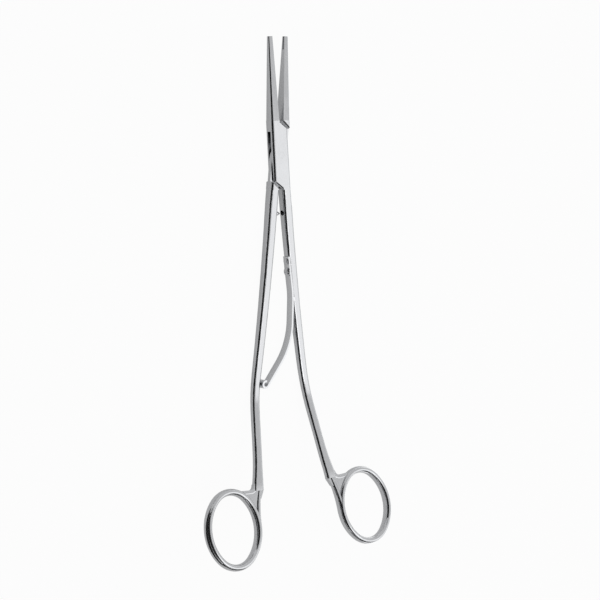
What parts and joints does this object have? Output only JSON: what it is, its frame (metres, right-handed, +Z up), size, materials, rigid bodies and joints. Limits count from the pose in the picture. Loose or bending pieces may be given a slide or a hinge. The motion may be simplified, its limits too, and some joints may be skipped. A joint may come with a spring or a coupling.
{
  "type": "clip applier",
  "caption": "Slender box-lock clip applier with grooved straight jaws, a leaf spring between the shanks and bent-up oval finger rings.",
  "frame": {"origin": "centre of the footprint at the surface that the instrument lies on", "axes": "+Y along the instrument towards the jaw tips, +Z up out of its front face, X across the two rings"},
  "size_m": [0.0926, 0.2004, 0.0183],
  "materials": {
    "polished_steel": "polished",
    "spring_steel": "polished"
  },
  "bodies": {
    "box_side": {"box_half": "polished_steel", "pivot_pin": "polished_steel", "leaf_spring": "spring_steel", "spring_screw": "polished_steel", "spring_locating_pin": "polished_steel"},
    "tongue_side": {"tongue_half": "polished_steel", "guide_pin": "polished_steel"}
  },
  "joints": [
    {"name": "box_lock", "type": "hinge", "parent": "box_side", "child": "tongue_side", "pos_m": [0, 0.05493, 0.00236], "axis": [0, -0.0116, 0.9999], "range_deg": [0, 7.4], "stiffness_Nm_per_rad": 2.4, "springref_deg": -2.86, "deforming": ["leaf_spring"]}
  ]
}
